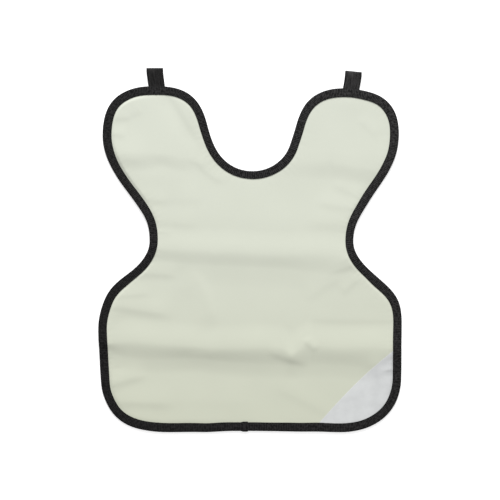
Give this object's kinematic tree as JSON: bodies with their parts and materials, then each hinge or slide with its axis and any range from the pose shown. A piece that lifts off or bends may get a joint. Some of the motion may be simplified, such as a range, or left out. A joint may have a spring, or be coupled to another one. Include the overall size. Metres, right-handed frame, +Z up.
{
  "type": "lead x-ray apron",
  "caption": "Bib-shaped x-ray shielding apron: a pale layered panel with neck and arm cut-outs, bound in black tape, with shoulder hanging loops and a bare white hem patch.",
  "frame": {"origin": "on the surface that the apron lies on, under the middle of its box", "axes": "+X to the right of the face, +Y from the hem to the shoulders, +Z up out of the face"},
  "size_m": [0.611, 0.7364, 0.0132],
  "materials": {
    "cover_cloth": "pale grey-green coated cloth over shielding vinyl, satin, with soft storage folds",
    "binding_tape": "black ribbed binding tape, matte, stitched along its inner edge",
    "label_satin": "plain white satin patch, bare",
    "loop_tape": "black woven tape, matte"
  },
  "bodies": {
    "root": {"apron_panel": "cover_cloth", "edge_binding": "binding_tape", "corner_label": "label_satin", "left_hang_loop": "loop_tape", "right_hang_loop": "loop_tape"}
  },
  "joints": []
}
